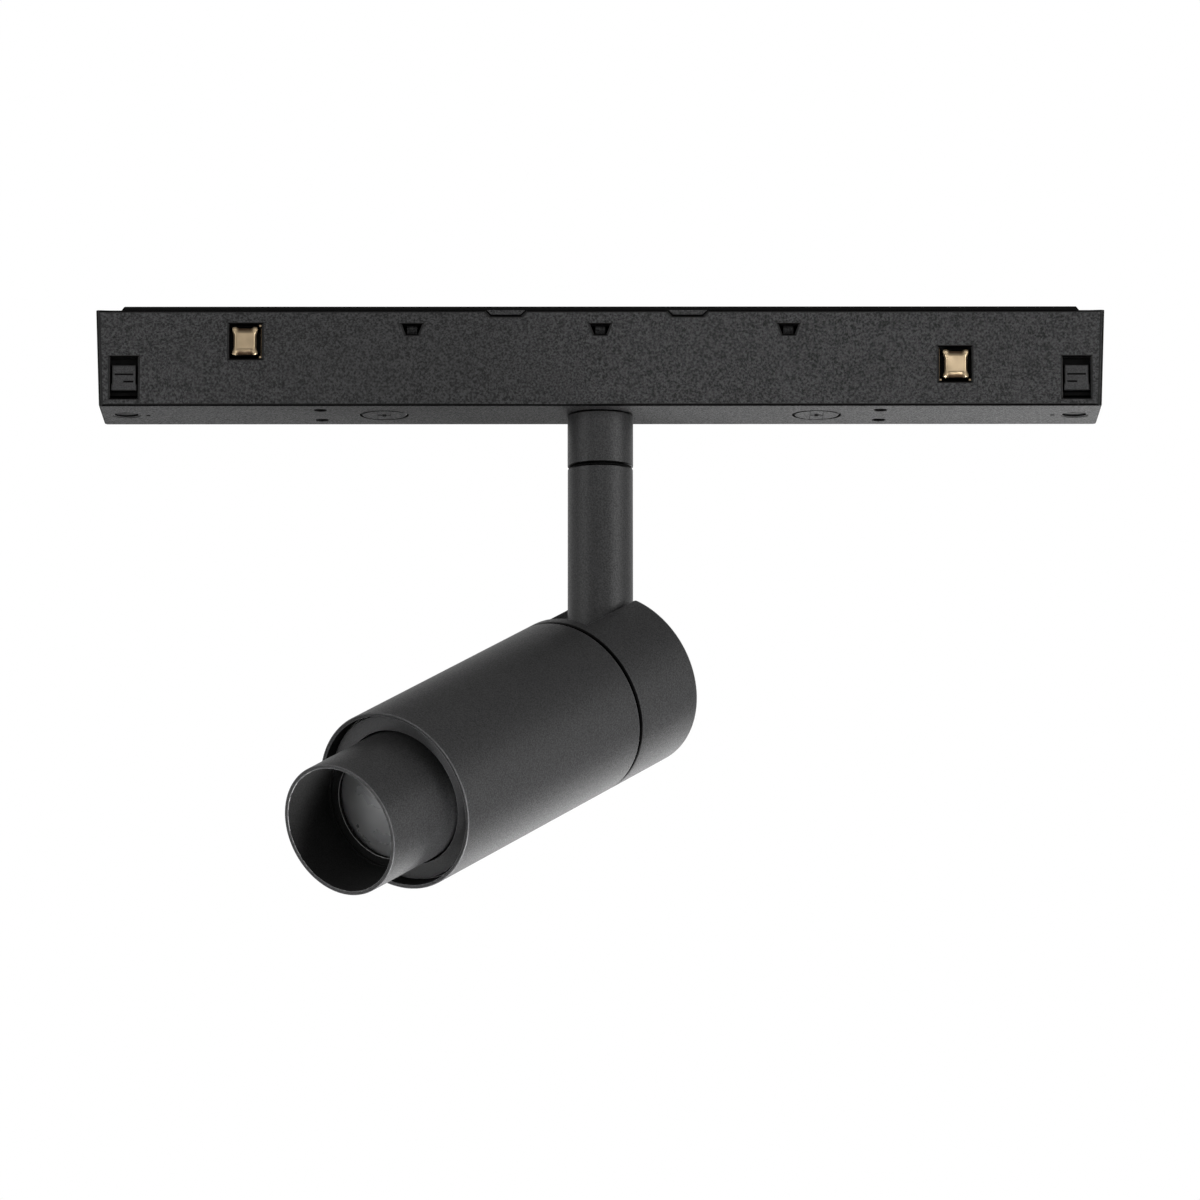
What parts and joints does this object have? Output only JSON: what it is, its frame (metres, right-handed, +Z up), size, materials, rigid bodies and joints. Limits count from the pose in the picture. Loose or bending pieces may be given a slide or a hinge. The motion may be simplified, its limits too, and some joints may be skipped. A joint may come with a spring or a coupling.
{
  "type": "track spotlight",
  "caption": "Black track spotlight: bar adapter with sprung contacts and turn locks, turning stem, tilting round head and push-pull zoom tube with lens.",
  "frame": {"origin": "centre of the adapter cover's top face, where the light seats in its track", "axes": "+Z up into the track, +X along the adapter towards the lower contact, contacts face -Y"},
  "size_m": [0.2246, 0.0973, 0.1387],
  "materials": {
    "adapter_body": "fine spark-eroded grain, black",
    "adapter_cover": "fine grain, black",
    "circuit_board": "green solder mask",
    "ferrite": "ferrite grey",
    "capacitor_sleeve": "shrink sleeve",
    "chip_black": "moulded epoxy",
    "white_plastic": "moulded nylon",
    "bright_steel": "zinc plated",
    "lead_sleeve": "silicone lead sleeve",
    "inner_plastic": "black nylon",
    "spring_steel": "drawn wire",
    "contact_gold": "gold-plated pressing",
    "lock_metal": "moulded black",
    "bolt_plastic": "moulded black, smooth",
    "black_coat": "satin-matt black powder coat",
    "bearing_nylon": "natural nylon",
    "bare_aluminium": "turned aluminium",
    "white_board": "white solder mask",
    "phosphor": "yellow phosphor",
    "inner_black": "matt black",
    "lens_glass": "clear moulded lens",
    "seal_rubber": "silicone",
    "bezel_coat": "satin grey-black coat"
  },
  "bodies": {
    "adapter": {"housing": "adapter_body", "top_cover": "adapter_cover", "driver_board": "circuit_board", "inductor": "ferrite", "capacitors": "capacitor_sleeve", "board_chips": "chip_black", "lead_socket": "white_plastic", "board_screws": "bright_steel", "board_nuts": "bright_steel", "supply_leads": "lead_sleeve", "contact_carrier_left": "inner_plastic", "contact_carrier_right": "inner_plastic", "contact_spring_left": "spring_steel", "contact_spring_right": "spring_steel", "plug_left": "adapter_body", "plug_right": "adapter_body", "lock_guide_left": "inner_plastic", "lock_guide_right": "inner_plastic", "bolt_springs_left": "spring_steel", "bolt_springs_right": "spring_steel", "collar": "black_coat", "nipple": "bright_steel", "nipple_nut": "bright_steel", "pan_stop_pin": "bright_steel", "thrust_washer": "bearing_nylon", "retaining_nut": "bright_steel"},
    "left_contact": {"contact_left": "contact_gold"},
    "right_contact": {"contact_right": "contact_gold"},
    "left_lock": {"lock_shaft_left": "lock_metal"},
    "right_lock": {"lock_shaft_right": "lock_metal"},
    "left_front_bolt": {"bolt_left_front": "bolt_plastic"},
    "left_back_bolt": {"bolt_left_back": "bolt_plastic"},
    "right_front_bolt": {"bolt_right_front": "bolt_plastic"},
    "right_back_bolt": {"bolt_right_back": "bolt_plastic"},
    "stem": {"stem_tube": "black_coat", "stem_bush": "inner_plastic", "stem_eye": "bare_aluminium", "stem_leads": "lead_sleeve", "pivot_screws": "bright_steel", "friction_washers": "bearing_nylon", "spring_washers": "spring_steel"},
    "head": {"rear_shell": "black_coat", "yoke": "black_coat", "barrel": "black_coat", "led_board": "white_board", "led_chip": "phosphor", "led_holder": "white_plastic", "led_screws": "bright_steel", "condenser_holder": "inner_black", "condenser": "lens_glass", "guide_sleeve": "inner_black", "friction_ring": "seal_rubber", "front_bezel": "bezel_coat", "head_leads": "lead_sleeve"},
    "zoom": {"zoom_tube": "black_coat", "stop_ring": "inner_black", "zoom_lens": "lens_glass", "lens_ring": "inner_black"}
  },
  "joints": [
    {"name": "stem_pan", "type": "hinge", "parent": "adapter", "child": "stem", "pos_m": [0, 0, -0.039], "axis": [0, 0, 1], "range_deg": [-170, 170]},
    {"name": "head_tilt", "type": "hinge", "parent": "stem", "child": "head", "pos_m": [0, 0, -0.0851], "axis": [0.766, -0.6428, 0], "range_deg": [-25, 65]},
    {"name": "zoom_slide", "type": "slide", "parent": "head", "child": "zoom", "axis": [-0.5826, -0.6943, -0.4226], "range_m": [-0.016, 0]},
    {"name": "left_contact_press", "type": "slide", "parent": "adapter", "child": "left_contact", "axis": [0, 1, 0], "range_m": [0, 0.001], "stiffness_N_per_m": 400, "springref_m": -0.0015, "deforming": ["contact_spring_left"]},
    {"name": "right_contact_press", "type": "slide", "parent": "adapter", "child": "right_contact", "axis": [0, 1, 0], "range_m": [0, 0.001], "stiffness_N_per_m": 400, "springref_m": -0.0015, "deforming": ["contact_spring_right"]},
    {"name": "left_front_bolt_slide", "type": "slide", "parent": "adapter", "child": "left_front_bolt", "axis": [0, -1, 0], "range_m": [0, 0.0015], "deforming": ["bolt_springs_left"]},
    {"name": "left_back_bolt_slide", "type": "slide", "parent": "adapter", "child": "left_back_bolt", "axis": [0, 1, 0], "range_m": [0, 0.0015]},
    {"name": "left_lock_turn", "type": "hinge", "parent": "adapter", "child": "left_lock", "pos_m": [-0.1059, 0, -0.0166], "axis": [0, 0, 1], "range_deg": [0, 90]},
    {"name": "right_front_bolt_slide", "type": "slide", "parent": "adapter", "child": "right_front_bolt", "axis": [0, -1, 0], "range_m": [0, 0.0015], "deforming": ["bolt_springs_right"]},
    {"name": "right_back_bolt_slide", "type": "slide", "parent": "adapter", "child": "right_back_bolt", "axis": [0, 1, 0], "range_m": [0, 0.0015]},
    {"name": "right_lock_turn", "type": "hinge", "parent": "adapter", "child": "right_lock", "pos_m": [0.1059, 0, -0.0166], "axis": [0, 0, 1], "range_deg": [0, 90]}
  ],
  "couplings": [
    {"joint": "left_back_bolt_slide", "follows": "left_front_bolt_slide", "ratio": 1},
    {"joint": "left_lock_turn", "follows": "left_front_bolt_slide", "rad_per_m": 1047.2},
    {"joint": "right_back_bolt_slide", "follows": "right_front_bolt_slide", "ratio": 1},
    {"joint": "right_lock_turn", "follows": "right_front_bolt_slide", "rad_per_m": 1047.2}
  ]
}
